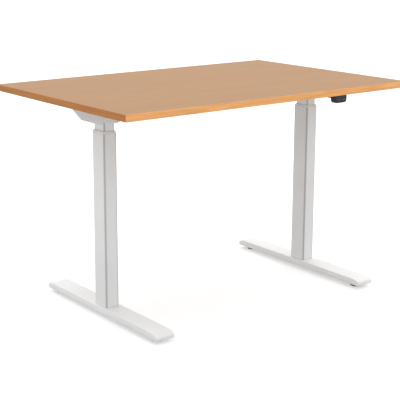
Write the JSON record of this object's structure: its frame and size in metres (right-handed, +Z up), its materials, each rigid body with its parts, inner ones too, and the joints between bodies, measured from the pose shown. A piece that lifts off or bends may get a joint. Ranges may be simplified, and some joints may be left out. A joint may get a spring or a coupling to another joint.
{
  "type": "height adjustable desk",
  "caption": "Height adjustable desk: a rectangular beech board on two white telescopic columns with motors, long flat foot bars and an up/down handset.",
  "frame": {"origin": "on the floor, under the centre of the tabletop", "axes": "+Z up, +X along the width of the top to the user's right, +Y away from the user, who sits at -Y"},
  "size_m": [1.2, 0.8, 0.745],
  "materials": {
    "laminate": "beech-patterned melamine laminate, matt with fine pores",
    "edge_band": "beech-patterned edge band, satin",
    "white_steel": "fine-textured white powder coat",
    "white_plastic": "moulded white nylon, matt",
    "plain_steel": "zinc-plated steel",
    "motor_steel": "black painted can",
    "cast_aluminium": "die-cast, unpolished",
    "brass": "machined",
    "black_plastic": "fine-textured black moulding",
    "grey_plastic": "grey key cap, matt",
    "circuit_board": "green solder mask",
    "cable_black": "black sheath",
    "rubber": "black rubber pad on a black stud"
  },
  "bodies": {
    "legs": {"foot_bar_left": "white_steel", "foot_bolt_left_front": "plain_steel", "foot_bolt_left_rear": "plain_steel", "column_base_left": "plain_steel", "nut_tube_left": "plain_steel", "outer_tube_left": "white_steel", "tube_collar_left": "white_plastic", "lead_screw_nut_left": "brass", "foot_bar_right": "white_steel", "foot_bolt_right_front": "plain_steel", "foot_bolt_right_rear": "plain_steel", "column_base_right": "plain_steel", "nut_tube_right": "plain_steel", "outer_tube_right": "white_steel", "tube_collar_right": "white_plastic", "lead_screw_nut_right": "brass"},
    "desk_lift": {"tabletop_board": "laminate", "edge_band_front": "edge_band", "edge_band_rear": "edge_band", "edge_band_left": "edge_band", "edge_band_right": "edge_band", "inner_tube_left": "white_steel", "glide_sleeve_left": "white_plastic", "gearbox_housing_left": "cast_aluminium", "gearbox_cover_left": "cast_aluminium", "motor_left": "motor_steel", "side_bracket_left": "white_steel", "motor_cable_left": "cable_black", "inner_tube_right": "white_steel", "glide_sleeve_right": "white_plastic", "gearbox_housing_right": "cast_aluminium", "gearbox_cover_right": "cast_aluminium", "motor_right": "motor_steel", "side_bracket_right": "white_steel", "motor_cable_right": "cable_black", "crossbar_front": "white_steel", "crossbar_rear": "white_steel", "control_box_base": "black_plastic", "control_box_cover": "black_plastic", "mains_inlet": "black_plastic", "control_board": "circuit_board", "handset_housing": "black_plastic", "handset_board": "circuit_board", "handset_cable": "cable_black", "cable_clip": "white_plastic"},
    "lead_screw_left": {"lead_screw_left": "plain_steel", "worm_wheel_left": "brass"},
    "motor_worm_left": {"motor_worm_left": "plain_steel"},
    "lead_screw_right": {"lead_screw_right": "plain_steel", "worm_wheel_right": "brass"},
    "motor_worm_right": {"motor_worm_right": "plain_steel"},
    "button_up": {"button_up": "grey_plastic"},
    "button_down": {"button_down": "grey_plastic"},
    "levelling_foot_left_front": {"levelling_foot_left_front": "rubber"},
    "levelling_foot_left_rear": {"levelling_foot_left_rear": "rubber"},
    "levelling_foot_right_front": {"levelling_foot_right_front": "rubber"},
    "levelling_foot_right_rear": {"levelling_foot_right_rear": "rubber"}
  },
  "joints": [
    {"name": "height_slide", "type": "slide", "parent": "legs", "child": "desk_lift", "axis": [0, 0, 1], "range_m": [-0.02, 0.47]},
    {"name": "lead_screw_spin_left", "type": "hinge", "parent": "desk_lift", "child": "lead_screw_left", "pos_m": [-0.448, -0.047, 0.4], "axis": [0, 0, 1], "range_deg": [-451, 10576]},
    {"name": "motor_worm_spin_left", "type": "hinge", "parent": "desk_lift", "child": "motor_worm_left", "pos_m": [-0.433, -0.047, 0.687], "axis": [0, 1, 0], "range_deg": [-4510, 105760]},
    {"name": "lead_screw_spin_right", "type": "hinge", "parent": "desk_lift", "child": "lead_screw_right", "pos_m": [0.448, -0.047, 0.4], "axis": [0, 0, 1], "range_deg": [-451, 10576]},
    {"name": "motor_worm_spin_right", "type": "hinge", "parent": "desk_lift", "child": "motor_worm_right", "pos_m": [0.433, -0.047, 0.687], "axis": [0, 1, 0], "range_deg": [-4510, 105760]},
    {"name": "button_up_press", "type": "slide", "parent": "desk_lift", "child": "button_up", "axis": [0, 1, 0], "range_m": [0, 0.0008], "stiffness_N_per_m": 600, "springref_m": -0.0005},
    {"name": "button_down_press", "type": "slide", "parent": "desk_lift", "child": "button_down", "axis": [0, 1, 0], "range_m": [0, 0.0008], "stiffness_N_per_m": 600, "springref_m": -0.0005},
    {"name": "levelling_foot_left_front_screw_out", "type": "slide", "parent": "legs", "child": "levelling_foot_left_front", "axis": [0, 0, -1], "range_m": [0, 0.01]},
    {"name": "levelling_foot_left_rear_screw_out", "type": "slide", "parent": "legs", "child": "levelling_foot_left_rear", "axis": [0, 0, -1], "range_m": [0, 0.01]},
    {"name": "levelling_foot_right_front_screw_out", "type": "slide", "parent": "legs", "child": "levelling_foot_right_front", "axis": [0, 0, -1], "range_m": [0, 0.01]},
    {"name": "levelling_foot_right_rear_screw_out", "type": "slide", "parent": "legs", "child": "levelling_foot_right_rear", "axis": [0, 0, -1], "range_m": [0, 0.01]}
  ],
  "couplings": [
    {"joint": "lead_screw_spin_left", "follows": "height_slide", "rad_per_m": 392.7},
    {"joint": "motor_worm_spin_left", "follows": "height_slide", "rad_per_m": 3927},
    {"joint": "lead_screw_spin_right", "follows": "height_slide", "rad_per_m": 392.7},
    {"joint": "motor_worm_spin_right", "follows": "height_slide", "rad_per_m": 3927}
  ]
}
